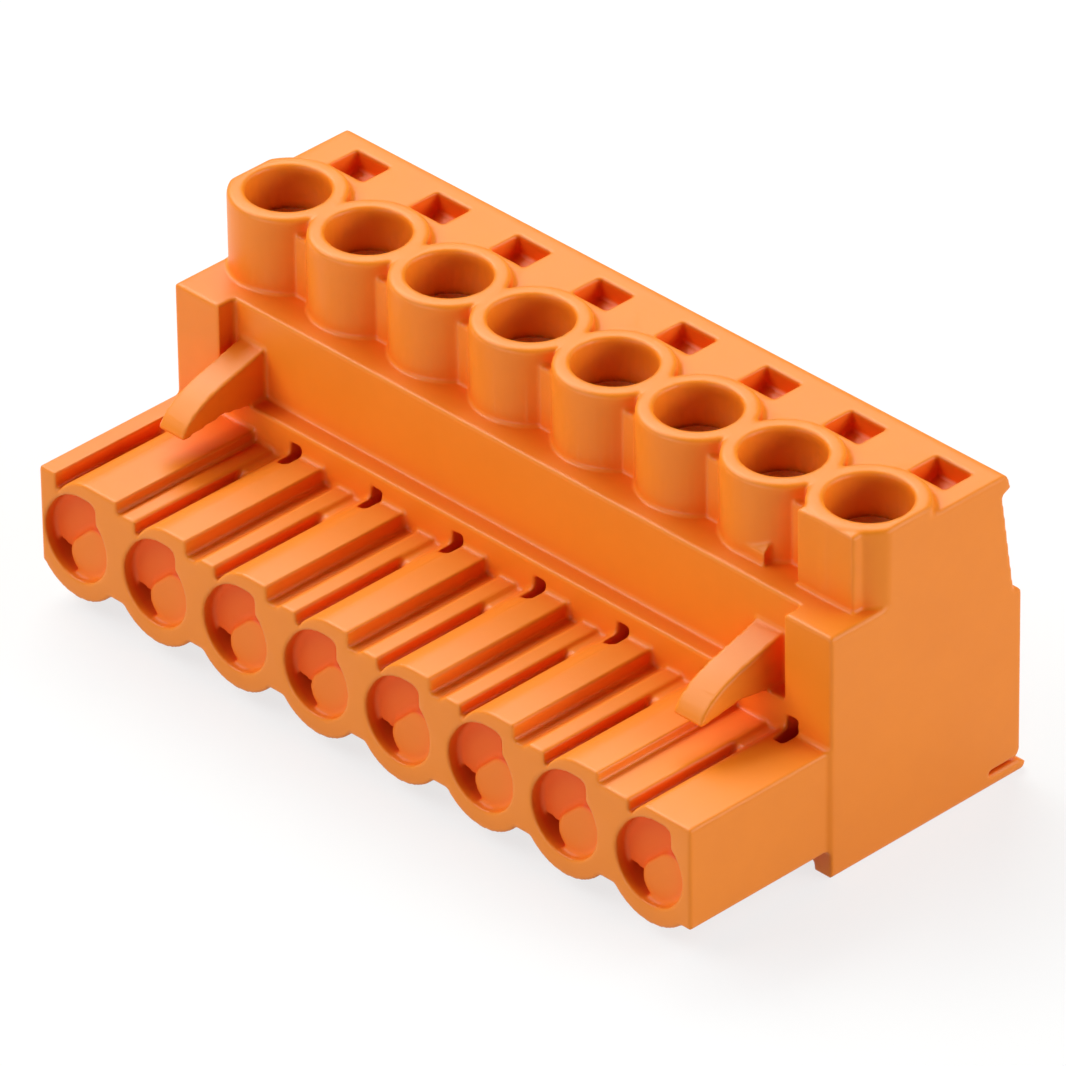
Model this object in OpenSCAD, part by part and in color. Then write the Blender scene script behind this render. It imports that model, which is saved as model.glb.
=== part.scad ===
// Pluggable terminal block: a row of screw-clamp poles in one moulded
// housing, with plug sleeves in front and two locking hooks.
// Axes: X along the row, -Y the side that plugs in, +Y the wire side, +Z up.
// Origin: middle of the whole block's footprint, on the plane it rests on.

/* [Row of poles] */
// Number of poles
poles = 8; // [3:1:16]
// Distance from pole to pole
pitch = 5.08; // [5.08:0.01:6.35]
// From an outer pole's axis to the end face beside it
end_margin = 2.42; // [2.38:0.01:2.6]

/* [Housing heights] */
// Top plate above the resting plane
plate_z = 15.54; // [15.4:0.02:17]
// Rim of the screw collars above the top plate
collar_rise = 0.53; // [0.3:0.01:0.9]
// Ledge at the foot of the collars
ledge_z = 12.19; // [11.2:0.01:12.6]
// Step ledge over the plug sleeves
step_z = 7.88; // [7.5:0.01:8.4]

/* [Housing depths] */
// Length of the plug sleeves
sleeve_len = 8.32; // [7.9:0.01:10]
// From the lower front face back to the screw axes
face_to_axis = 4.72; // [4.5:0.01:5.4]
// From the screw axes back to the wire face
axis_to_wire_face = 6.86; // [6.6:0.01:8]
// From the screw axes back to the edge of the top plate
axis_to_plate_edge = 5.84; // [5.7:0.01:6.1]
// Depth of the recessed wall between the end pillars
recess_d = 1; // [0.4:0.05:1.1]
// Width of each end pillar
pillar_w = 2.8; // [2:0.05:2.9]
// Foot nose in front of the wire face
foot_nose = 0.4; // [0.2:0.02:0.8]

/* [Screw collars] */
// Radius of the screw bore
collar_bore_r = 1.925; // [1.87:0.005:2.05]
// Wall of a collar round its bore
collar_wall = 0.795; // [0.72:0.005:0.9]
// Rounding of a collar's rim
rim_round = 0.18; // [0.06:0.01:0.25]
// From the middle between two collars to the left side of the strip there
strip_left = 0.29; // [0.15:0.01:0.45]
// How far the strips stand in front of the screw axes
strip_front = 1.68; // [1.3:0.01:2.2]
// Top of the strips, below the top plate
strip_drop = 0.27; // [0.1:0.01:1]
// How far the last pole's index block stands in front of the screw axes
block_front = 2.7; // [2.66:0.01:3.2]
// Half width of the last pole's index block
block_half = 1.6; // [1.2:0.05:2]
// Top of that block below the rims
block_drop = 0.08; // [0.04:0.01:0.5]
// Height of the low index block before it
low_block_h = 1.1; // [0.8:0.01:2]

/* [Label pockets] */
// Width of a label pocket in the top plate
label_w = 2.1; // [1.5:0.05:2.6]
// Offset of a label pocket from its pole's axis
label_x = 0.25; // [-0.4:0.05:0.6]
// Length of a label pocket
label_len = 1.7; // [1.2:0.05:2]
// Wall between a label pocket and the plate's edge
label_wall = 0.92; // [0.75:0.02:1.2]
// Depth of a label pocket at its wire side
label_d = 0.95; // [0.5:0.05:1.2]

/* [Plug sleeves] */
// Radius of the rounded underside of a sleeve
sleeve_r = 2.71; // [2.6:0.01:2.9]
// Height of the centre of that radius
sleeve_r_z = 3.3; // [3.2:0.01:3.6]
// Underside of the webs between two sleeves
web_z = 1.6; // [1.2:0.05:2]
// Top of the main rib on a sleeve
rib_z = 6.75; // [6.7:0.01:7.2]
// Top of the low rib beside it
low_rib_z = 6.27; // [6.1:0.01:6.4]
// Floor of the groove between the two ribs
groove_z = 5.98; // [5.9:0.01:6.1]
// Radius of the round mouth in a sleeve's front
mouth_r = 1.97; // [1.8:0.01:2.02]
// Depth of the mouth
mouth_d = 3; // [2:0.1:3.5]
// Depth from the front to the upper filling of the mouth
filling_d = 0.65; // [0.4:0.05:1.2]
// Depth from the front to the round boss in the mouth
boss_d = 0.4; // [0.2:0.05:0.8]
// Radius of the round boss in the mouth
boss_r = 1; // [0.95:0.01:1.1]
// Length of the stops in the deep grooves
stop_len = 2.3; // [1.5:0.05:3]

/* [Locking hooks] */
// Width of the left hook
left_hook_w = 1.55; // [1.2:0.05:2]
// Width of the right hook
right_hook_w = 1.65; // [1.2:0.05:2]
// From the left end face to the middle of the left hook
hook_left = 3.925; // [3.85:0.005:4.4]
// From the right end face to the middle of the right hook
hook_right = 4.575; // [3.85:0.005:5]
// How far the hooks reach in front of the lower front face
hook_reach = 4.06; // [3.6:0.01:5]

/* [Screws] */
// Radius of the thread
thread_r = 1.25; // [1:0.01:1.3]
// Thread pitch of the screws
thread_pitch = 0.45; // [0.35:0.05:0.5]
// Height of a screw head
head_h = 1.9; // [1.5:0.05:2.1]
// How deep the heads lie below the collar rims
head_sink = 2; // [1.8:0.05:2.2]
// Gap between a head and its collar bore
head_gap = 0.125; // [0.08:0.005:0.2]
// Width of the slot in a head
slot_w = 0.6; // [0.4:0.05:0.8]
// Depth of the slot in a head
slot_d = 0.8; // [0.5:0.05:1.1]
// Shoulder of plastic that carries a head
shoulder_t = 1.47; // [1.2:0.01:1.6]

/* [Wire clamps] */
// Underside of the current bars above the resting plane
bar_z = 6.3; // [6.1:0.01:6.4]
// Thickness of the current bars
bar_t = 0.7; // [0.5:0.05:0.8]
// Clear width inside a clamp
clamp_inner_w = 2.8; // [2.7:0.05:3]
// Wall of a clamp's sides
clamp_wall = 0.6; // [0.4:0.05:0.65]
// Depth of a clamp along the wire
clamp_depth = 4.2; // [3.6:0.05:4.3]
// Clear height for the wire in an open clamp
wire_gap = 3.1; // [2.6:0.05:3.2]
// Thickness of a clamp's bottom
clamp_floor = 0.7; // [0.5:0.05:0.75]
// Thickness of a clamp's threaded top
clamp_top = 1.2; // [1:0.05:1.3]
// Radius of the wire entry
wire_r = 1.7; // [1.3:0.05:1.75]
// Radius of the wire entry's funnel in the wire face
funnel_r = 2.15; // [1.9:0.05:2.3]
// Length of the funnel
funnel_len = 2.4; // [1:0.1:3]

/* [Contacts] */
// Offset of the blade pin's axis from its pole's axis
pin_x = 0.8; // [0.7:0.01:0.82]
// Height of the pin's axis
pin_z = 4.97; // [4.9:0.01:5]
// Width of the slot for the pin
pin_slot_w = 0.56; // [0.5:0.01:0.6]
// Height of the slot for the pin
pin_slot_h = 1.25; // [1:0.05:1.25]
// Thickness of the spring leaves
leaf_t = 0.3; // [0.2:0.01:0.33]
// Height of the spring leaves
leaf_h = 1.3; // [1:0.05:1.4]
// Gap between the leaves where they grip the pin
leaf_nip = 0.48; // [0.4:0.02:0.56]
// Thickness of a contact's upright
upright_t = 0.6; // [0.4:0.05:0.7]

/* [Hidden] */
$fn = 96;
eps = 0.01;

// Colours of the real object
orange = [0.96, 0.42, 0.11];
zinc = [0.72, 0.73, 0.75];
steel = [0.62, 0.63, 0.66];
tinned = [0.80, 0.78, 0.72];

// Row
half_w = (poles - 1) * pitch / 2 + end_margin;
depth = sleeve_len + face_to_axis + axis_to_wire_face + foot_nose;
axis_y = sleeve_len + face_to_axis - depth / 2;
function pole_x(i) = (i - (poles - 1) / 2) * pitch;
gap_x = [for (i = [0:poles - 2]) (pole_x(i) + pole_x(i + 1)) / 2];

// Heights and depths, with the screw axes at y = 0
rim_z = plate_z + collar_rise;
face_y = -face_to_axis;
wall_y = face_y + recess_d;
nose_y = face_y - sleeve_len;
wire_y = axis_to_wire_face;
plate_y = axis_to_plate_edge;

// Collars, cut flush by the end faces, where the top plate begins behind them
collar_r = collar_bore_r + collar_wall;
plate_front = sqrt(pow(collar_r, 2) - pow(end_margin, 2)) - 0.04;

// Screws
head_r = collar_bore_r - head_gap;
head_z = rim_z - head_sink;
shoulder_z = head_z - head_h;
run_gap = 0.05;
shank_hole_r = thread_r + 0.1;
tip_z = bar_z + bar_t + run_gap;

// Clamps, drawn fully open
play = 0.1;
clamp_z = bar_z - wire_gap - clamp_floor;
clamp_w = clamp_inner_w + 2 * clamp_wall;
clamp_top_z = bar_z + bar_t + play;
chamber_top = shoulder_z - shoulder_t;
chamber_floor = clamp_z - 1.5 * play;
chamber_half_w = clamp_w / 2 + play;
chamber_half_d = clamp_depth / 2 + 2 * play;
clamp_travel = 5 * thread_pitch;

// Contacts
bar_half_w = clamp_inner_w / 2 - play;
bar_back = clamp_depth / 2 - 2 * play;
pocket_front = wall_y + 0.17;
upright_y = pocket_front + run_gap;
leaf_front = nose_y + mouth_d + 0.84;
leaf_chamber_half_w = 0.9;
leaf_chamber_half_h = 0.8;
pocket_right = pin_x + leaf_chamber_half_w;
pocket_z = pin_z - leaf_chamber_half_h;
wire_z = (clamp_z + clamp_floor + bar_z) / 2;

// Points of an arc in degrees, for an outline
function arc(centre, r, from, to, n = 8) =
    [for (k = [0:n]) centre + r * [cos(from + (to - from) * k / n), sin(from + (to - from) * k / n)]];

// Points of a curve from a to c that leaves both ends towards b
function curve(a, b, c, n = 7) =
    [for (k = [0:n]) let (t = k / n) pow(1 - t, 2) * a + 2 * t * (1 - t) * b + pow(t, 2) * c];

module along_x(from, to) {
    translate([from, 0, 0]) rotate([90, 0, 90]) linear_extrude(to - from) children();
}

module along_y(from, to) {
    translate([0, to, 0]) rotate([90, 0, 0]) linear_extrude(to - from) children();
}

module block(x, y, z) {
    translate([x[0], y[0], z[0]]) cube([x[1] - x[0], y[1] - y[0], z[1] - z[0]]);
}

module at_pole(i) {
    translate([pole_x(i), 0, 0]) children();
}

// ---- Housing ----

// Side outline of the body: front face, foot, wire face, lip and top plate
lip_r = 0.36;
lip_out = 0.31;
lip_drop = 0.79;
lip_under = 0.2;
shelf_z = 9.5;
shelf_y = wire_y - 0.47;
foot_slot_z = [0.57, 0.8];
foot_slot_d = 1.93;
body_outline = concat(
    [[face_y, 0], [wire_y + foot_nose - 0.17, 0], [wire_y + foot_nose, 0.29]],
    [[wire_y - 0.01, foot_slot_z[0]], [wire_y - foot_slot_d, foot_slot_z[0]]],
    [[wire_y - foot_slot_d, foot_slot_z[1]], [wire_y - 0.16, foot_slot_z[1]], [wire_y, 1.1]],
    arc([wire_y - lip_r, shelf_z - lip_r], lip_r, 0, 75),
    [[shelf_y, shelf_z], [plate_y - lip_under, plate_z - lip_drop - 0.18]],
    [[plate_y + lip_out, plate_z - lip_drop]],
    arc([plate_y + lip_out - lip_r - 0.12, plate_z - lip_r], lip_r, 10, 90),
    [[plate_front, plate_z], [plate_front, ledge_z], [face_y, ledge_z]]
);

module body() {
    along_x(-half_w, half_w) polygon(body_outline);
    block([pole_x(0), pole_x(poles - 1)], [0, plate_front + eps], [ledge_z - eps, plate_z]);
}

// Collars with rounded rims, and a strip in each groove between two of them
module collars() {
    rim_c = [collar_r - rim_round, rim_z - rim_round];
    for (i = [0:poles - 1]) at_pole(i) rotate_extrude() polygon(concat(
        [[0, rim_z], [0, ledge_z - eps], [collar_r, ledge_z - eps]],
        arc(rim_c, rim_round, 0, 90, 3)
    ));
    for (x = gap_x) block(
        [x - strip_left, x + pitch / 2 - collar_bore_r - collar_wall / 4], [-strip_front, 0],
        [ledge_z - eps, plate_z - strip_drop]
    );
}

// Index blocks: a full one on the last collar, a low one with a sloping top before it
module index_blocks() {
    low_top = ledge_z + low_block_h;
    at_pole(poles - 1) block(
        [-block_half, block_half + 0.1], [-block_front, 0], [ledge_z - eps, rim_z - block_drop]
    );
    at_pole(poles - 2) along_x(0, block_half - 0.1) polygon([
        [0, ledge_z - eps], [-block_front, ledge_z - eps], [-block_front, low_top - 0.5],
        [-block_front + 0.5, low_top], [0, low_top]
    ]);
}

// Right edge of the main rib and left edge of the low rib of pole i,
// with the two coded places that key the plug to its header
function rib_right(i) = i == 0 ? 2.52 : 1.85;
function low_rib_left(i) = i == 0 ? 2.82 : i == poles - 2 ? 2.08 : 2.79;
rib_arc_r = 2.25;
rib_arc_x = 0.7;
rib_left = -1.4;
groove_arc = acos((rib_left - rib_arc_x) / rib_arc_r);
// The last sleeve's side lies this far inside the end face
side_step = 0.13;

// Outline of one sleeve, seen from the front
module sleeve_outline(i) {
    last = i == poles - 1;
    right = last ? end_margin - side_step : pitch + rib_left;
    crest = last ? rib_z - 0.3 : rib_z;
    arc_centre = [rib_arc_x, rib_z - rib_arc_r];
    polygon(concat(
        [[rib_left, web_z]],
        [for (p = arc(arc_centre, rib_arc_r, groove_arc, 90, 12)) [p[0], min(p[1], crest)]],
        last
            ? [[right, crest], [right, web_z]]
            : [
                [rib_right(i), rib_z], [rib_right(i), groove_z],
                [max(low_rib_left(i) - 0.34, rib_right(i)), groove_z],
                [low_rib_left(i), low_rib_z], [right, low_rib_z], [right, web_z]
            ]
    ));
    intersection() {
        translate([-0.2, sleeve_r_z]) circle(sleeve_r);
        translate([-sleeve_r - 0.2, 0]) square([2 * sleeve_r, sleeve_r_z]);
    }
}

module sleeves() {
    along_y(nose_y, face_y + eps) intersection() {
        union() {
            for (i = [0:poles - 1]) translate([pole_x(i), 0]) sleeve_outline(i);
            translate([-half_w, web_z]) square([end_margin + rib_left, rib_z - 0.25 - web_z]);
            translate([half_w - side_step - end_margin, web_z - 0.23]) square([end_margin, 2]);
        }
        translate([-half_w, 0]) square([2 * half_w - side_step, 2 * rib_z]);
    }
}

// Stops that close the deep grooves in front of the test slots
stop_right = -0.87;
module groove_stops() {
    top = low_rib_z - 0.15;
    for (i = [0:poles - 1]) at_pole(i) along_x(rib_left - eps, stop_right) polygon([
        [face_y + eps, web_z + 1], [face_y - stop_len, web_z + 1], [face_y - stop_len, top - 0.5],
        [face_y - stop_len + 0.4, top], [face_y + eps, top]
    ]);
}

// Opening in a sleeve's front: a round mouth under a wider arch with a rounded corner
mouth_c = [-0.22, 3.5];
arch_c = [0.35, mouth_c[1]];
arch_r = 2.45;
arch_side = 1.1;
arch_round = 0.3;
module mouth_outline() {
    inner_r = arch_r - arch_round;
    corner_x = arch_side - arch_round - arch_c[0];
    corner = arch_c + [corner_x, sqrt(pow(inner_r, 2) - pow(corner_x, 2))];
    touch = arch_c + (corner - arch_c) * arch_r / inner_r;
    translate(mouth_c) circle(mouth_r);
    translate(corner) circle(arch_round);
    translate([0, mouth_c[1]]) square([arch_side, corner[1] - mouth_c[1]]);
    intersection() {
        translate(arch_c) circle(arch_r);
        translate([-mouth_r, mouth_c[1] + 0.5]) square([mouth_r + touch[0], arch_r]);
    }
}

// What fills the mouth's upper part, with a rounded corner and the slot for the pin
fill_r = 0.8;
fill_z = 3.4;
module filling_outline() {
    corner = [mouth_c[0] - mouth_r + fill_r - 0.04, fill_z];
    difference() {
        union() {
            translate([-mouth_r - 1, fill_z]) square([2 * mouth_r + 1, arch_r + 1]);
            translate(corner - [0, fill_r]) square([2 * mouth_r, fill_r + 1]);
            translate(corner) circle(fill_r);
        }
        pin_slot_outline();
    }
}

module pin_slot_outline() {
    translate([pin_x - pin_slot_w / 2, pin_z - pin_slot_h / 2]) square([pin_slot_w, pin_slot_h]);
}

// Long round boss across the mouth's lower right, grown into its wall
module boss_outline() {
    down = [sin(14), -cos(14)];
    right = [cos(13), -sin(13)];
    low = mouth_c + (mouth_r - boss_r + 0.02) * down;
    high = mouth_c + (mouth_r - boss_r + 0.05) * right;
    axis = high - low;
    translate(low) circle(boss_r);
    translate(high) circle(boss_r);
    translate(low) rotate(atan2(axis[1], axis[0])) square([norm(axis), boss_r - eps / 4]);
    polygon([
        low, mouth_c + 1.2 * mouth_r * down, mouth_c + 1.2 * mouth_r * (down + right),
        mouth_c + 1.2 * mouth_r * right, high
    ]);
}

module mouth() {
    back = nose_y + mouth_d;
    difference() {
        along_y(nose_y - 1, back) mouth_outline();
        along_y(nose_y + filling_d, back + 1) filling_outline();
        along_y(nose_y + boss_d, back + 1) boss_outline();
    }
    along_y(back - eps, leaf_front) pin_slot_outline();
}

// Space for a contact: leaf chamber in the sleeve and pocket for its upright
module contact_space() {
    block(
        [pin_x - leaf_chamber_half_w, pocket_right], [leaf_front - 0.2, pocket_front + eps],
        [pocket_z, pin_z + leaf_chamber_half_h]
    );
    block(
        [-bar_half_w - run_gap, pocket_right], [pocket_front, -chamber_half_d + eps],
        [pocket_z, bar_z + bar_t + run_gap]
    );
}

// Test slot in the lower front face and the pit in front of it
slot_x = [-0.25, 0.4];
slot_top = 7.17;
pit_len = 0.88;
module test_slot() {
    block(slot_x, [face_y - pit_len, wall_y - 0.1], [pin_z + 0.5, slot_top]);
}

// Well for a screw and its clamp, with a rounded edge in the collar's rim
module screw_well() {
    edge = 0.6 * rim_round;
    rotate_extrude() polygon(concat(
        [[0, rim_z + 1], [0, rim_z - edge]],
        arc([collar_bore_r + edge, rim_z - edge], edge, 180, 90, 3), [[collar_bore_r + edge, rim_z + 1]]
    ));
    translate([0, 0, shoulder_z]) cylinder(r = collar_bore_r, h = rim_z);
    translate([0, 0, chamber_top - eps]) cylinder(r = shank_hole_r, h = shoulder_t + 2 * eps);
    block(
        [-chamber_half_w, chamber_half_w], [-chamber_half_d, chamber_half_d],
        [chamber_floor, chamber_top]
    );
}

module wire_entry() {
    translate([0, wire_y, wire_z]) rotate([90, 0, 0]) {
        translate([0, 0, -eps]) cylinder(r1 = funnel_r, r2 = wire_r, h = funnel_len + eps);
        cylinder(r = wire_r, h = wire_y);
    }
}

bulge_r = 1;
module label_pocket() {
    back = plate_y - label_wall;
    x = [label_x - label_w / 2, label_x + label_w / 2];
    difference() {
        block(x, [back - label_len, back], [plate_z - label_d - bulge_r, plate_z + 1]);
        translate([x[0] - 1, back, plate_z - label_d - bulge_r])
            rotate([0, 90, 0]) cylinder(r = bulge_r, h = label_w + 2);
    }
}

// Side outline of a hook: a swept top from the recess to a round nose
function hook_outline() = let (tip = face_y - hook_reach) concat(
    [[face_y + eps, step_z - eps], [wall_y + eps, step_z - eps], [wall_y + eps, step_z + 2.5]],
    curve([wall_y, step_z + 2.5], [tip + 3.7, step_z + 2.1], [tip + 2.3, step_z + 1.7]),
    curve([tip + 2.2, step_z + 1.67], [tip + 0.5, step_z + 1.1], [tip, step_z + 0.12]),
    [[tip + 0.06, step_z], [tip + 0.2, step_z - 0.03], [face_y - 1.58, step_z + 0.27]]
);

module hook(middle, width) {
    along_x(middle - width / 2, middle + width / 2) polygon(hook_outline());
}

module hooks() {
    hook(-half_w + hook_left, left_hook_w);
    hook(half_w - hook_right, right_hook_w);
}

foot_w = 1.07;
under_cut = [0.9, 0.45];
module housing() {
    color(orange) translate([0, axis_y, 0]) difference() {
        union() {
            intersection() {
                union() {
                    body();
                    collars();
                    sleeves();
                    groove_stops();
                }
                block([-half_w, half_w], [-depth, depth], [0, 2 * plate_z]);
            }
            index_blocks();
        }
        difference() {
            block(
                [-half_w + pillar_w, half_w - pillar_w], [face_y - eps, wall_y],
                [step_z, ledge_z + 1]
            );
            hooks();
        }
        block(
            [-half_w + foot_w, half_w - foot_w], [face_y - eps, face_y + under_cut[0]],
            [-1, under_cut[1]]
        );
        for (i = [0:poles - 1]) at_pole(i) {
            mouth();
            contact_space();
            test_slot();
            screw_well();
            wire_entry();
            label_pocket();
        }
    }
    color(orange) translate([0, axis_y, 0]) hooks();
}

// ---- Metal parts ----

// Slotted screw, seated on its shoulder
module screw(i) {
    chamfer = 0.2;
    color(zinc) translate([pole_x(i), axis_y, 0]) difference() {
        rotate_extrude() polygon([
            [0, tip_z], [thread_r - chamfer, tip_z], [thread_r, tip_z + chamfer],
            [thread_r, shoulder_z], [head_r, shoulder_z], [head_r, head_z - chamfer],
            [head_r - chamfer, head_z], [0, head_z]
        ]);
        block([-slot_w / 2, slot_w / 2], [-head_r - 1, head_r + 1], [head_z - slot_d, head_z + 1]);
    }
}

// Rising cage: its floor lifts the wire against the current bar
module clamp(i) {
    top = clamp_top_z + clamp_top;
    half_d = clamp_depth / 2;
    color(steel) translate([pole_x(i), axis_y, 0]) difference() {
        block([-clamp_w / 2, clamp_w / 2], [-half_d, half_d], [clamp_z, top]);
        block(
            [-clamp_inner_w / 2, clamp_inner_w / 2], [-half_d - 1, half_d + 1],
            [clamp_z + clamp_floor, clamp_top_z]
        );
        translate([0, 0, clamp_z + clamp_floor]) cylinder(r = thread_r + run_gap, h = 2 * top);
    }
}

// One spring leaf, seen from above, on the pin axis's right-hand side
module leaf_outline() {
    nip = leaf_nip / 2;
    root = leaf_chamber_half_w - leaf_t - 2 * run_gap;
    inner = [[root, upright_y + eps], [nip, leaf_front + 1.3], [nip + 0.2, leaf_front + 0.1]];
    polygon(concat(inner, [for (k = [2:-1:0]) inner[k] + [leaf_t, 0]]));
}

module contact(i) {
    color(tinned) translate([pole_x(i), axis_y, 0]) {
        block([-bar_half_w, bar_half_w], [upright_y, bar_back], [bar_z, bar_z + bar_t]);
        block(
            [-bar_half_w, pocket_right - run_gap], [upright_y, upright_y + upright_t],
            [pocket_z + run_gap, bar_z + eps]
        );
        translate([pin_x, 0, pin_z - leaf_h / 2]) linear_extrude(leaf_h) {
            leaf_outline();
            mirror([1, 0]) leaf_outline();
        }
    }
}

housing();
for (i = [0:poles - 1]) {
    screw(i);
    clamp(i);
    contact(i);
}
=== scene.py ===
# %% [markdown]
# # A pluggable terminal block
# The real block is one orange moulding. It carries eight screws, eight clamps
# that rise when the screws turn, and eight spring contacts. Their solids come
# from the packed frame with exact, sharp edges. This file gives them the soft
# edges, threads and finishes of the real pieces, and a pale studio around them.

# %% Load the frame
import math

import bmesh
import bpy
from mathutils import Matrix, Vector


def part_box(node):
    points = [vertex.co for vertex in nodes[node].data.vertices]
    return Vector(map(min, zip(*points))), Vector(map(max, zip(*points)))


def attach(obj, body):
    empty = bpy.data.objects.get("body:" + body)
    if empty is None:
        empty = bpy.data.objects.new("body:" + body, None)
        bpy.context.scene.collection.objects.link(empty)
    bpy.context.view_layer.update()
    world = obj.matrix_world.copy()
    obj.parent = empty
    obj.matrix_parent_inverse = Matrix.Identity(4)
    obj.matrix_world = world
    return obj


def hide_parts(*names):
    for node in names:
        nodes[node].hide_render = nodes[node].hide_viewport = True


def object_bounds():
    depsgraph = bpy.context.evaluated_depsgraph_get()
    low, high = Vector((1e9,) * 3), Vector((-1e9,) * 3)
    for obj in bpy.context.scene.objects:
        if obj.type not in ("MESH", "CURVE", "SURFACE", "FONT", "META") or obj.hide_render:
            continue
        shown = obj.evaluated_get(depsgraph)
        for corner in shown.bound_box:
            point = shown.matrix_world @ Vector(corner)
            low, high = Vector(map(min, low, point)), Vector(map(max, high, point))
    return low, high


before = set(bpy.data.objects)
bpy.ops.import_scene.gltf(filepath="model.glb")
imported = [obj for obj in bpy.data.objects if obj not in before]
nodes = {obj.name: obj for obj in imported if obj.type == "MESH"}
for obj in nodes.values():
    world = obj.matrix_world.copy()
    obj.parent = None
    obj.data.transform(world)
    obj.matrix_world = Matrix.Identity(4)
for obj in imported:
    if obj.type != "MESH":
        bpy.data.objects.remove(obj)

cad_low, cad_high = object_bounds()
mm = 0.001
poles = range(1, 1 + sum(name.startswith("screw_") for name in nodes))
scene = bpy.context.scene
print("CAD box in mm:", [round(v / mm, 2) for v in (*cad_low, *cad_high)])
print("poles:", len(poles))

# %% [markdown]
# ## Camera
# The block is seen from its front right corner and from above, through a very
# long lens, so that its edges stay almost parallel. A camera can be turned
# towards a point with a constraint, but here the three directions of its view
# are written down and put into its matrix, which also keeps its small roll.

# %% Camera
forward = Vector((-0.60364, 0.58182, -0.54508)).normalized()
right = Vector((0.69951, 0.71453, -0.01197))
right = (right - forward * right.dot(forward)).normalized()
view_turn = Matrix((right, right.cross(forward), -forward)).transposed().to_4x4()

camera_data = bpy.data.cameras.new("long_lens")
camera_data.sensor_width = 36
camera_data.lens = 421.6
camera_data.clip_start, camera_data.clip_end = 0.01, 10
camera = bpy.data.objects.new("long_lens", camera_data)
camera.matrix_world = Matrix.Translation((0.32559, -0.31348, 0.30132)) @ view_turn
scene.collection.objects.link(camera)
scene.camera = camera
print("camera stands", round(camera.location.length, 3), "m from the block")

# %% [markdown]
# ## Shader maths
# A material's pattern is easier to read as a sum than as a list of links. The
# class below wraps a node's output, so that an expression such as `1 - grain * 2`
# adds the Math nodes for it. Every other node comes from `node`, which sets the
# node up first and then gives values or links to its sockets. Colours don't go
# through Math nodes, which would turn them grey: `mix_colours` joins those.

# %% Shader maths
class Output:
    """The output of a shader node, for use in Python expressions."""

    def __init__(self, socket):
        self.socket = socket

    def maths(self, operation, first, second=0.0):
        return node(self.socket.id_data, "ShaderNodeMath", {"operation": operation},
                    {0: first, 1: second})

    def __add__(self, other):
        return self.maths("ADD", self, other)

    def __radd__(self, other):
        return self.maths("ADD", other, self)

    def __sub__(self, other):
        return self.maths("SUBTRACT", self, other)

    def __rsub__(self, other):
        return self.maths("SUBTRACT", other, self)

    def __mul__(self, other):
        return self.maths("MULTIPLY", self, other)

    def __rmul__(self, other):
        return self.maths("MULTIPLY", other, self)

    def __truediv__(self, other):
        return self.maths("DIVIDE", self, other)

    def __pow__(self, other):
        return self.maths("POWER", self, other)


def node(tree, kind, settings=None, sockets=None, output=0):
    """Adds a node, sets it up, fills its sockets and returns one output."""
    made = tree.nodes.new(kind)
    for name, value in (settings or {}).items():
        setattr(made, name, value)
    for name, value in (sockets or {}).items():
        if isinstance(value, Output):
            tree.links.new(value.socket, made.inputs[name])
        else:
            made.inputs[name].default_value = value
    return Output(made.outputs[output])


def mix_colours(tree, share, first, second):
    """Colour `first` where share is 0, `second` where it is 1."""
    first, second = (c if isinstance(c, Output) else (*c, 1) for c in (first, second))
    return node(tree, "ShaderNodeMix", {"data_type": "RGBA"},
                {0: share, 6: first, 7: second}, output=2)


print("operators on outputs:", [name for name in vars(Output) if name.endswith("__")][1:])

# %% [markdown]
# Every finish below starts from one Principled shader. The helper makes it, gives
# fixed numbers straight to its sockets, and hands back the place on the piece
# that patterns are drawn from. Those are Object coordinates in metres, which stay
# with a piece when it moves.

# %% A new finish
def new_finish(name, **fixed):
    """A material, its node tree, its shader and its Object coordinates."""
    material = bpy.data.materials.new(name)
    material.use_nodes = True
    tree = material.node_tree
    shader = tree.nodes["Principled BSDF"]
    for socket, value in fixed.items():
        shader.inputs[socket.replace("_", " ")].default_value = value
    place = node(tree, "ShaderNodeTexCoord", output=3)
    return material, tree, shader, place


def noise(tree, place, grain, detail=2.0):
    """Soft noise from 0 to 1 whose spots are about `grain` metres wide."""
    return node(tree, "ShaderNodeTexNoise", None,
                {"Vector": place, "Scale": 1 / grain, "Detail": detail})


def feed(tree, shader, **inputs):
    for socket, value in inputs.items():
        tree.links.new(value.socket, shader.inputs[socket.replace("_", " ")])


# %% [markdown]
# ## Hollows of the moulding
# On the real block the grooves, pockets and mouths look redder than the open faces.
# Cycles already follows light from wall to wall, which reddens them, but less than
# that. Why the real ones are redder isn't known, so what follows is painted shade, a
# correction and not a property of the plastic. Ambient Occlusion tells how closed in a
# point is, and the dye is painted darker and redder with it. The fillings of the eight
# mouths look redder and duller still: they get more painted shade and a rougher gloss,
# and are found by their distance from the axis of a mouth, folded back to one pole.
# To see the plain plastic, set both shares of the painted shade to 0.

# %% Where the hollows are
pitch = 5.08 * mm
mouth_height, mouth_radius = 3.5 * mm, 2.22 * mm
lip_depth, filling_depth, mouth_depth = 0.2 * mm, 0.65 * mm, 3.0 * mm


def limited(tree, value):
    """The value, kept between 0 and 1."""
    return node(tree, "ShaderNodeClamp", None, {"Value": value})


def fold(tree, place):
    """The distance along the row from the nearest pole, in metres."""
    poles_along = node(tree, "ShaderNodeSeparateXYZ", None, {"Vector": place}) / pitch
    return (poles_along - poles_along.maths("FLOOR", poles_along) - 0.5) * pitch


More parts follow.
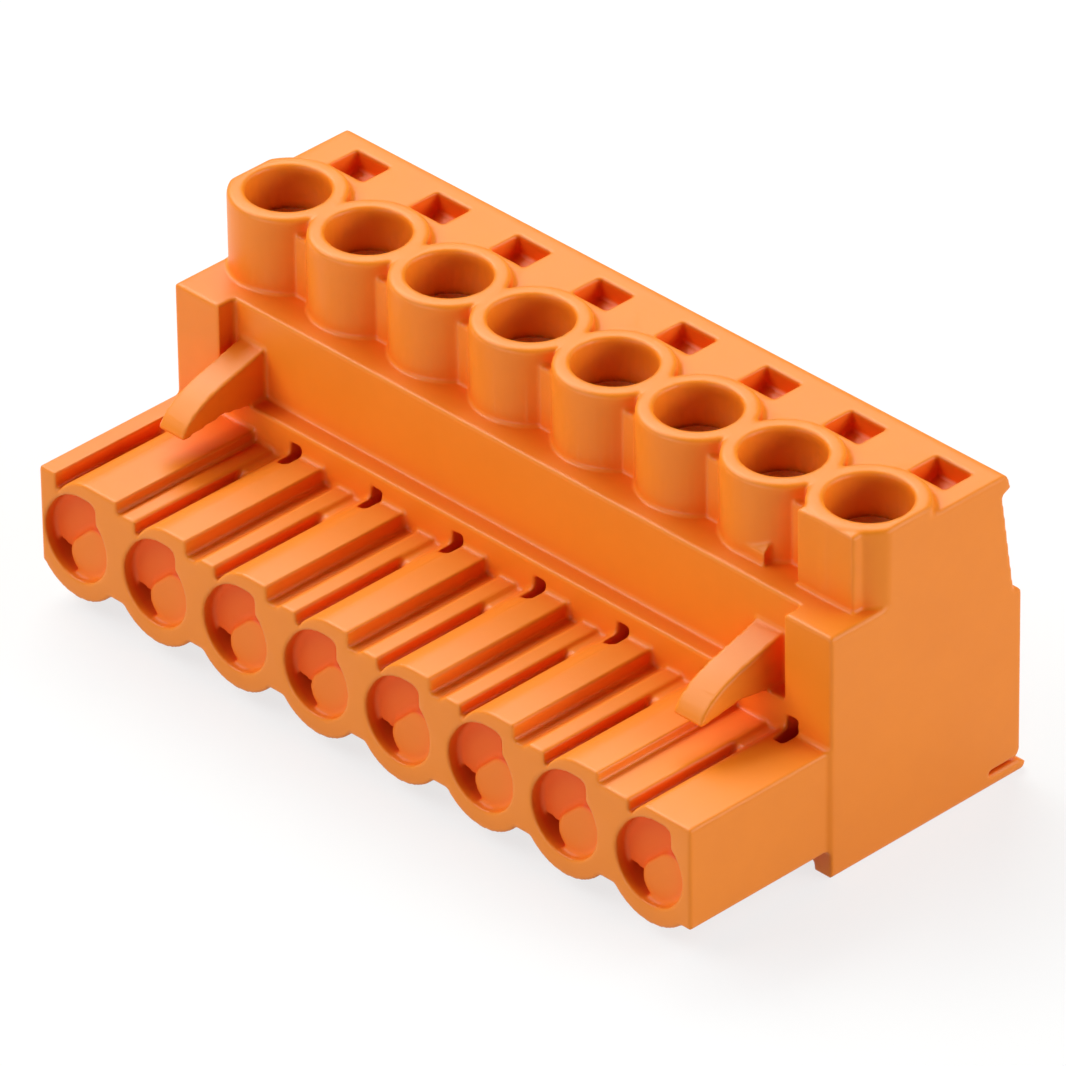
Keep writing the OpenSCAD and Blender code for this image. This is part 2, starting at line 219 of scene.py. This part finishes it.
def mouth_mask(tree, place):
    """1 on the fillings of the mouths and on the walls behind them, 0 elsewhere."""
    across = fold(tree, place)
    depth = node(tree, "ShaderNodeSeparateXYZ", None, {"Vector": place}, 1) - cad_low.y
    above = node(tree, "ShaderNodeSeparateXYZ", None, {"Vector": place}, 2) - mouth_height
    reach = (across * across + above * above) ** 0.5
    inside = limited(tree, (mouth_radius - reach) / (0.05 * mm))
    behind_lip = limited(tree, (depth - lip_depth) / (filling_depth - lip_depth))
    return inside * behind_lip * limited(tree, (mouth_depth - depth) / (0.5 * mm))


# %% [markdown]
# ## Orange plastic
# Such mouldings are usually glass-filled polyamide, dyed through; this one is a
# warm orange. It is satin rather than glossy, as if the mould had a faint texture
# that breaks up every reflection. One flat colour would look like paint, so the dye drifts a little
# over a few millimetres, the gloss drifts with it, and a fine bump gives the grain.

# %% Orange plastic
orange, tree, shader, place = new_finish("orange_polyamide", Specular_IOR_Level=0.4)
drift = noise(tree, place, 4 * mm)
flow = noise(tree, place, 0.9 * mm, detail=4.0)
grain = noise(tree, place, 0.05 * mm, detail=3.0)
hollow_reach = 2.5 * mm
# painted shade in the hollows: the more closed in a point is, the darker and redder the dye is
# painted
closed_in = 1 - node(tree, "ShaderNodeAmbientOcclusion", {"samples": 8, "only_local": True},
                     {"Distance": hollow_reach}, output=1)
# painted shade on the mouth fillings and the walls behind them; there the gloss is also made
# rougher
mouth_shade_and_matt = mouth_mask(tree, place)
painted_shade = limited(tree, closed_in * 1.2 - 0.1 + mouth_shade_and_matt * 0.85)
clear = mix_colours(tree, drift * 0.7 + flow * 0.3, (0.86, 0.225, 0.009), (0.95, 0.265, 0.014))
# the painted shade: this darker red is mixed into the dye where its share is high
dye_and_painted_shade = mix_colours(tree, painted_shade, clear, (0.88, 0.11, 0.004))
gloss = 0.36 + drift * 0.06 + grain * 0.05 + mouth_shade_and_matt * 0.2
relief = node(tree, "ShaderNodeBump", None,
              {"Strength": 0.25, "Distance": 0.01 * mm, "Height": grain + flow * 0.4})
feed(tree, shader, Base_Color=dye_and_painted_shade, Roughness=gloss, Normal=relief)
print("orange plastic:", len(tree.nodes), "nodes")

# %% [markdown]
# ## Soft edges
# No edge that comes out of a mould is sharp: each has a radius of a tenth or two
# of a millimetre, and each inner corner a fillet, and the light runs along them.
# A bevel could cut those, but it tangles where ribs, rings and mouths crowd on one
# plane. Remeshing a merged copy in small cubes and smoothing it rounds outer and
# inner corners alike. The copy is scaled up to millimetres meanwhile, so that the
# cubes aren't too small for the tool, and most of its many faces are then
# dissolved where the surface is flat.

# %% Soften a solid
def soften(name, cube, rounds, share):
    """A smooth copy of a CAD node, with rounded edges; sizes in millimetres."""
    shape = bmesh.new()
    shape.from_mesh(nodes[name].data)
    bmesh.ops.remove_doubles(shape, verts=shape.verts, dist=0.002 * mm)
    bmesh.ops.scale(shape, vec=(1 / mm,) * 3, verts=shape.verts)
    mesh = bpy.data.meshes.new(f"{name}_sharp")
    shape.to_mesh(mesh)
    shape.free()
    piece = bpy.data.objects.new(f"{name}_soft", mesh)
    scene.collection.objects.link(piece)
    cubes = piece.modifiers.new("cubes", "REMESH")
    cubes.mode = "VOXEL"
    cubes.voxel_size = cube
    smooth = piece.modifiers.new("smooth", "SMOOTH")
    smooth.factor, smooth.iterations = 0.5, rounds
    thin = piece.modifiers.new("thin", "DECIMATE")
    thin.ratio = share
    result = piece.evaluated_get(bpy.context.evaluated_depsgraph_get())
    piece.data = bpy.data.meshes.new_from_object(result)
    piece.modifiers.clear()
    piece.data.transform(Matrix.Scale(mm, 4))
    piece.data.shade_smooth()
    return piece


# %% [markdown]
# The moulding gets this treatment with cubes of a tenth of a millimetre. Flat
# faces would still shade unevenly where they meet a rounding, so a Weighted
# Normal modifier lets the large faces decide the normals.

# %% The moulding
moulding = soften("housing", cube=0.1, rounds=3, share=0.1)
moulding.data.materials.clear()
moulding.data.materials.append(orange)
even = moulding.modifiers.new("even shading", "WEIGHTED_NORMAL")
even.weight = 80
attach(moulding, "block")
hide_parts("housing")
print("moulding:", len(moulding.data.polygons), "triangles")

# %% [markdown]
# ## Zinc on the screws
# The screws of such blocks are mostly turned steel with a bright zinc coat; here
# only a dark glint of them shows, so the finish is the usual one. Turning leaves fine rings
# round the axis on every head, and the zinc clouds slightly. All eight screws
# share one finish, so the rings need to know which screw they are on: the distance
# along the row is folded back to the nearest pole, and the radius follows.

# %% Zinc
axis_y = sum(v[1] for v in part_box("screw_1")) / 2

zinc, tree, shader, place = new_finish("zinc_plated_screw", Metallic=1.0)
across = fold(tree, place)
along = node(tree, "ShaderNodeSeparateXYZ", None, {"Vector": place}, output=1) - axis_y
radius = (across * across + along * along) ** 0.5
cloud = noise(tree, place, 0.8 * mm, detail=4.0)
turning = across.maths("SINE", radius * (math.tau / (0.09 * mm)) + cloud * 3) * 0.5 + 0.5
coat = mix_colours(tree, cloud, (0.56, 0.58, 0.62), (0.72, 0.73, 0.74))
relief = node(tree, "ShaderNodeBump", None,
              {"Strength": 0.3, "Distance": 0.004 * mm, "Height": turning + cloud})
feed(tree, shader, Base_Color=coat, Roughness=0.24 + turning * 0.08 + cloud * 0.12,
     Normal=relief)
print("zinc:", len(tree.nodes), "nodes, rings 0.09 mm apart")

# %% [markdown]
# ## Screws
# The CAD screw stands for its thread with a plain cylinder. The copy here keeps
# its slotted head, draws the shank in to the thread's core, and winds a ridge
# round it. `spin` with a small step along the axis makes such a ridge from one
# profile: the thread's 60 degree vee with a narrow flat crest. A Screw modifier
# could do it too, but would need an object of its own for the axis.

# %% Cut a thread
thread_radius, thread_core, thread_pitch = 1.25 * mm, 1.0 * mm, 0.45 * mm
crest, root_overlap, head_height, turn_steps = 0.03 * mm, 0.03 * mm, 1.9 * mm, 24


def wind_thread(shape, axis, bottom, top):
    """Winds a ridge round the axis from bottom to top, inside a bmesh."""
    turns = (top - bottom) / thread_pitch - 1
    half = 0.42 * thread_pitch
    inner, outer = axis.x + thread_core - root_overlap, axis.x + thread_radius
    corners = [(inner, -half), (outer, -crest), (outer, crest), (inner, half)]
    points = [shape.verts.new((x, axis.y, bottom + thread_pitch / 2 + z)) for x, z in corners]
    start = shape.faces.new(points)
    bmesh.ops.spin(
        shape, geom=[start, *start.edges, *start.verts], cent=axis, axis=(0, 0, 1),
        dvec=(0, 0, thread_pitch / turn_steps), angle=math.tau * turns,
        steps=round(turn_steps * turns), use_merge=False, use_duplicate=False)


# %% [markdown]
# Each screw is then built from its own CAD node, so that it keeps its place. Faces
# are turned outwards again after the ridge is wound, and a Bevel modifier breaks
# the edges of the head and slot, where the edges are few and clean enough for it.

# %% The screws
def make_screw(number):
    name = f"screw_{number}"
    low, high = (Vector(corner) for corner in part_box(name))
    axis = (low + high) / 2
    shape = bmesh.new()
    shape.from_mesh(nodes[name].data)
    bmesh.ops.remove_doubles(shape, verts=shape.verts, dist=0.002 * mm)
    shank = [v for v in shape.verts if v.co.z < high.z - head_height - 0.05 * mm
             and (v.co.xy - axis.xy).length < thread_radius + 0.02 * mm]
    bmesh.ops.scale(shape, vec=(thread_core / thread_radius,) * 2 + (1,), verts=shank,
                    space=Matrix.Translation(-axis))
    wind_thread(shape, axis, low.z + 0.1 * mm, high.z - head_height)
    bmesh.ops.recalc_face_normals(shape, faces=shape.faces)
    mesh = bpy.data.meshes.new(f"{name}_threaded")
    shape.to_mesh(mesh)
    shape.free()
    mesh.materials.append(zinc)
    mesh.shade_smooth()
    mesh.set_sharp_from_angle(angle=math.radians(35))
    piece = bpy.data.objects.new(f"{name}_threaded", mesh)
    scene.collection.objects.link(piece)
    edge = piece.modifiers.new("broken edges", "BEVEL")
    edge.width, edge.segments, edge.limit_method = 0.03 * mm, 2, "ANGLE"
    edge.angle_limit = math.radians(40)
    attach(piece, name)
    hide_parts(name)
    return piece


screws = [make_screw(number) for number in poles]
print("screws:", len(screws), "with", len(screws[0].data.polygons), "faces each")

# %% [markdown]
# ## Clamps and contacts
# None of this shows from the front, so it follows common practice: each clamp is a
# bent and pierced steel cage, each contact a strip of tinned copper alloy. Both are
# stamped, so their edges are broken but not round. They sit deep in the moulding
# and show only through the wire entries and test slots, and they get the same
# softening with smaller cubes.

# %% Finishes of the stamped parts
def stamped_finish(name, dark, light, rough):
    """A plated metal with long rolling marks and soft stains."""
    material, tree, shader, place = new_finish(name, Metallic=1.0)
    stretched = node(tree, "ShaderNodeMapping", None,
                     {"Vector": place, "Scale": (1.0, 0.08, 1.0)})
    rolling = noise(tree, stretched, 0.04 * mm, detail=3.0)
    stain = noise(tree, place, 1.2 * mm, detail=4.0)
    relief = node(tree, "ShaderNodeBump", None,
                  {"Strength": 0.3, "Distance": 0.004 * mm, "Height": rolling})
    feed(tree, shader, Base_Color=mix_colours(tree, stain, dark, light),
         Roughness=rough + rolling * 0.15 + stain * 0.1, Normal=relief)
    return material


cage_steel = stamped_finish("zinc_plated_cage", (0.46, 0.47, 0.5), (0.66, 0.67, 0.69), 0.22)
tin = stamped_finish("tin_plated_contact", (0.6, 0.56, 0.5), (0.8, 0.77, 0.7), 0.28)

# %% [markdown]
# One helper dresses both kinds. A clamp rides on its own body and rises with its
# screw; a contact rides on the block.

# %% The clamps and contacts
def make_stamping(name, body, finish):
    piece = soften(name, cube=0.07, rounds=2, share=0.12)
    piece.data.materials.clear()
    piece.data.materials.append(finish)
    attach(piece, body)
    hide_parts(name)
    return piece


clamps = [make_stamping(f"clamp_{n}", f"clamp_{n}", cage_steel) for n in poles]
contacts = [make_stamping(f"contact_{n}", "block", tin) for n in poles]
print("clamp:", len(clamps[0].data.polygons), "triangles;",
      "contact:", len(contacts[0].data.polygons), "triangles")

# %% [markdown]
# ## Floor
# The block stands on a wide sheet of white paper. The sheet has two jobs that pull
# apart: it should look pure white, yet light that bounces off it would wash out
# the undersides of the block. Light Path tells the jobs apart. Rays from the
# camera, and rays that a glossy surface reflects or a clear one lets through, see
# white paper with a little glow, which still takes the shadow. All other rays
# find a grey sheet, as if the paper were small and the room round it dim.

# %% Floor
floor_shape = bmesh.new()
bmesh.ops.create_grid(floor_shape, x_segments=1, y_segments=1, size=3)
floor_drop = 0.02 * mm  # keeps the floor out of the plane of the block's base
bmesh.ops.translate(floor_shape, vec=(0, 0, -floor_drop), verts=floor_shape.verts)
floor_mesh = bpy.data.meshes.new("floor")
floor_shape.to_mesh(floor_mesh)
floor_shape.free()
floor = bpy.data.objects.new("floor", floor_mesh)
scene.collection.objects.link(floor)

floor_paper, tree, shader, place = new_finish("floor_paper", Roughness=0.8)
fibres = noise(tree, place, 0.4 * mm, detail=3.0)
seen = node(tree, "ShaderNodeLightPath", output=0)
glossy = node(tree, "ShaderNodeLightPath", output=3)
through = node(tree, "ShaderNodeLightPath", output=6)
either = seen + glossy + through
direct = either.maths("MINIMUM", either, 1.0)
bounce_grey, paper_white, glow_share = (0.45,) * 3, (0.93,) * 3, 0.75
feed(tree, shader, Base_Color=mix_colours(tree, direct, bounce_grey, paper_white),
     Roughness=0.75 + fibres * 0.1)
glow = node(tree, "ShaderNodeEmission", None, {"Color": (1, 1, 1, 1), "Strength": 1.0})
paper = Output(shader.outputs[0])
surface = node(tree, "ShaderNodeMixShader", None, {0: direct * glow_share, 1: paper, 2: glow})
tree.links.new(surface.socket, tree.nodes["Material Output"].inputs["Surface"])
floor_mesh.materials.append(floor_paper)
print("floor paper:", len(tree.nodes), "nodes")

# %% [markdown]
# ## Lamps and world
# Soft boxes give orange plastic its broad, even sheen; a point or sun lamp would
# draw hard edges in the hollows. Each one is a rectangular area lamp that faces
# the block from a compass angle and a height, both found by trial. The power of a
# lamp spreads over its face, so the helper takes the brightness of the face
# instead: a lamp can then grow or move without upsetting the others. The key
# stands high behind the left end and lights the tops, the two low ones light the
# front and the right end, and the world adds almost nothing.

# %% Soft boxes
def soft_box(name, azimuth, height, size, radiance, colour=(1, 1, 1), distance=0.6):
    """A rectangular lamp that faces the block; angles in degrees, sizes in metres."""
    turn, rise = math.radians(azimuth), math.radians(height)
    away = Vector((math.cos(turn) * math.cos(rise), math.sin(turn) * math.cos(rise),
                   math.sin(rise)))
    data = bpy.data.lights.new(name, "AREA")
    data.shape, data.size, data.size_y = "RECTANGLE", size[0], size[1]
    data.energy = radiance * math.pi * size[0] * size[1]
    data.color = colour
    lamp = bpy.data.objects.new(name, data)
    lamp.location = Vector((0, 0, 8 * mm)) + away * distance
    lamp.rotation_euler = away.to_track_quat("Z", "Y").to_euler()
    scene.collection.objects.link(lamp)
    print(f"{name}: {data.energy:.2f} W from {azimuth} degrees, {height} up")


soft_box("key", 155, 47, (0.5, 0.3), 6.0, colour=(0.93, 1, 0.95))
soft_box("left", 180, 45, (0.45, 0.3), 1.6)
soft_box("front left", 225, 45, (0.45, 0.3), 4.0)
soft_box("low front", 270, 4.5, (0.5, 0.085), 9.8)
soft_box("back right", 50, 35, (0.5, 0.25), 3.3)
soft_box("low right", 20, 12, (0.4, 0.2), 7.0)

# %% World
world = bpy.data.worlds.new("studio")
scene.world = world
world.use_nodes = True
world_strength = 0.02
world.node_tree.nodes["Background"].inputs["Strength"].default_value = world_strength
scene.view_settings.view_transform = "Standard"
print("world strength:", world_strength)

# %% [markdown] ## Sizes
# Softening and threading shouldn't change how big the block is.
